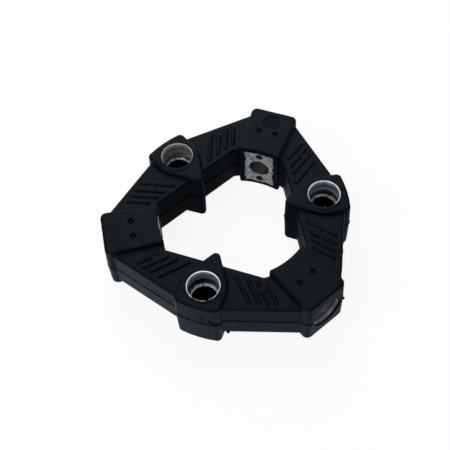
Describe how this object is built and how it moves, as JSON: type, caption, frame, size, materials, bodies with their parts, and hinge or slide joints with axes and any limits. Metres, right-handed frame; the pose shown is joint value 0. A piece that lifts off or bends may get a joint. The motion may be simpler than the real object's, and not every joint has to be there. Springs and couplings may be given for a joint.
{
  "type": "flexible rubber coupling",
  "caption": "Rubber coupling ring with alternating axial and radial metal bushes; bolts a flange to a round hub and takes up misalignment.",
  "frame": {"origin": "on the ring's axis, in the plane of the axial bushes' lower ends, which sit on the flange", "axes": "+Z along the ring's axis away from the flange, +X through the first axial bush"},
  "size_m": [0.1094, 0.1104, 0.028],
  "materials": {
    "rubber": "moulded, satin black with a cool tint",
    "axial_metal": "turned",
    "radial_metal": "machined, matte"
  },
  "bodies": {
    "root": {"rubber_body": "rubber", "axial_bush_1": "axial_metal", "axial_bush_2": "axial_metal", "axial_bush_3": "axial_metal", "radial_bush_1": "radial_metal", "radial_bush_2": "radial_metal", "radial_bush_3": "radial_metal"}
  },
  "joints": []
}
